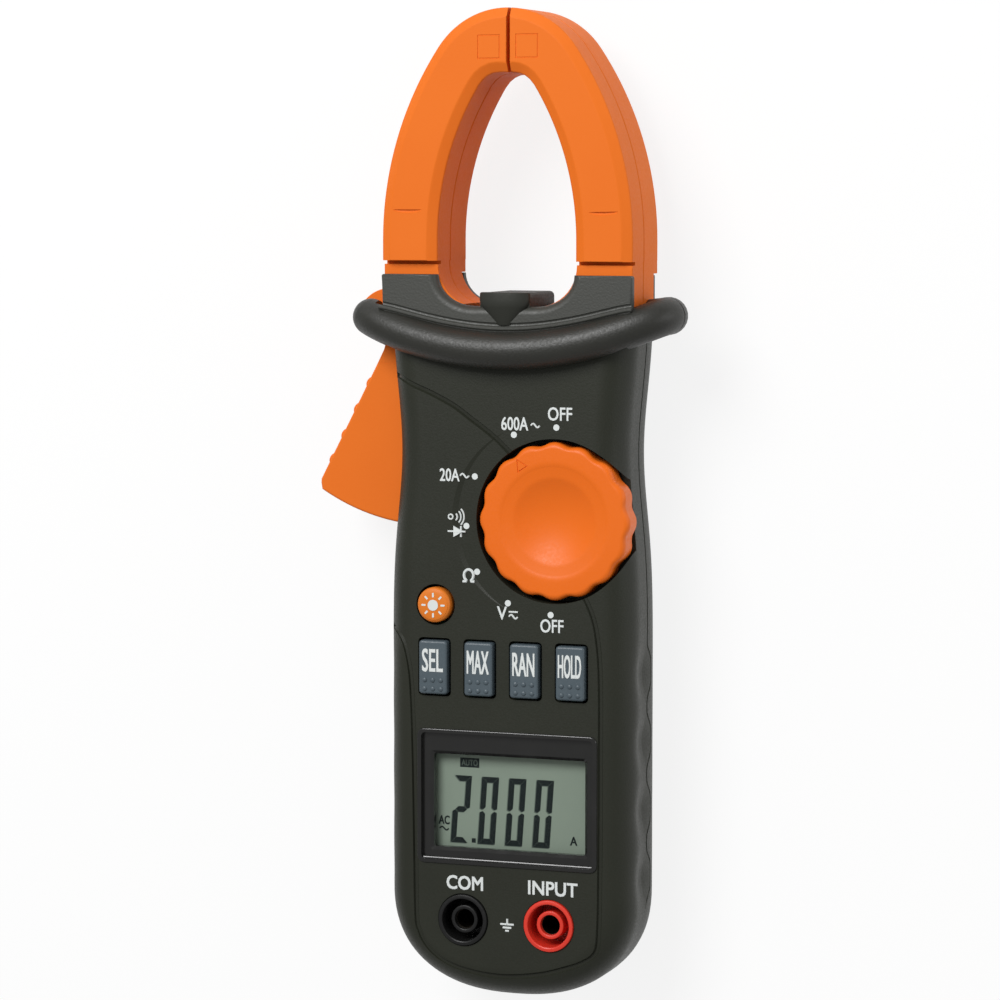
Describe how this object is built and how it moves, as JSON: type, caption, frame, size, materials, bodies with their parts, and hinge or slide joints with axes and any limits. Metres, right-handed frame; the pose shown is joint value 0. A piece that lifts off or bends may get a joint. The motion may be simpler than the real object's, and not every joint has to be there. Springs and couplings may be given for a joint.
{
  "type": "clamp meter",
  "caption": "Handheld clamp meter with a hinged sprung jaw and trigger, rounded hand guard, scalloped range knob, push buttons, recessed display and test lead sockets.",
  "frame": {"origin": "on the flat back, on the centre plane, at about the middle of the length", "axes": "+X to the right seen from the front, +Y along the meter towards the jaw tips, +Z out of the front panel"},
  "size_m": [0.0818, 0.2064, 0.0349],
  "materials": {
    "case_grey": "moulded, fine grain",
    "guard_grey": "moulded, satin",
    "jaw_orange": "moulded, satin",
    "knob_orange": "moulded, satin",
    "key_blue": "moulded, satin",
    "bezel_black": "polished",
    "window_clear": "clear",
    "lcd": "matt polariser",
    "lcd_light": "diffuse",
    "strip_rubber": "matt",
    "board_green": "solder mask",
    "chip_black": "matt",
    "socket_black": "moulded",
    "socket_red": "moulded",
    "plated": "nickel plated",
    "cell_wrap": "printed wrap",
    "steel": "bright",
    "copper": "enamelled wire",
    "rotor_white": "moulded"
  },
  "bodies": {
    "housing": {"front_case": "case_grey", "rear_case": "case_grey", "battery_door": "case_grey", "hand_guard": "guard_grey", "hand_guard_rear": "guard_grey", "jaw_stop": "guard_grey", "fixed_jaw_front": "jaw_orange", "fixed_jaw_rear": "jaw_orange", "display_bezel": "bezel_black", "display_window": "window_clear", "lcd_panel": "lcd", "lcd_backlight": "lcd_light", "lcd_connectors": "strip_rubber", "main_board": "board_green", "main_chip": "chip_black", "tactile_switches": "chip_black", "buzzer": "chip_black", "com_socket": "socket_black", "input_socket": "socket_red", "com_contact": "plated", "input_contact": "plated", "battery_contacts": "plated", "battery_left": "cell_wrap", "battery_right": "cell_wrap", "battery_door_screw": "steel", "case_screws": "steel", "pivot_pin": "steel", "jaw_spring": "steel", "fixed_core": "steel", "fixed_coil": "copper"},
    "moving_jaw": {"moving_jaw_front": "jaw_orange", "moving_jaw_rear": "jaw_orange", "moving_core": "steel", "moving_coil": "copper"},
    "selector": {"selector_knob": "knob_orange", "selector_rotor": "rotor_white", "rotor_wipers": "copper"},
    "backlight_button": {"backlight_button": "knob_orange"},
    "select_button": {"select_button": "key_blue"},
    "max_button": {"max_button": "key_blue"},
    "range_button": {"range_button": "key_blue"},
    "hold_button": {"hold_button": "key_blue"}
  },
  "joints": [
    {"name": "jaw_pivot", "type": "hinge", "parent": "housing", "child": "moving_jaw", "pos_m": [-0.02, 0.042, 0.021], "axis": [0, 0, 1], "range_deg": [0, 24], "stiffness_Nm_per_rad": 0.5, "springref_deg": -17.19},
    {"name": "selector_turn", "type": "hinge", "parent": "housing", "child": "selector", "pos_m": [0.0105, -0.0018, 0.0264], "axis": [0, 0, 1], "range_deg": [-30, 150]},
    {"name": "backlight_press", "type": "slide", "parent": "housing", "child": "backlight_button", "axis": [0, 0, -1], "range_m": [0, 0.0008], "stiffness_N_per_m": 600},
    {"name": "select_press", "type": "slide", "parent": "housing", "child": "select_button", "axis": [0, 0, -1], "range_m": [0, 0.0008], "stiffness_N_per_m": 600},
    {"name": "max_press", "type": "slide", "parent": "housing", "child": "max_button", "axis": [0, 0, -1], "range_m": [0, 0.0008], "stiffness_N_per_m": 600},
    {"name": "range_press", "type": "slide", "parent": "housing", "child": "range_button", "axis": [0, 0, -1], "range_m": [0, 0.0008], "stiffness_N_per_m": 600},
    {"name": "hold_press", "type": "slide", "parent": "housing", "child": "hold_button", "axis": [0, 0, -1], "range_m": [0, 0.0008], "stiffness_N_per_m": 600}
  ]
}
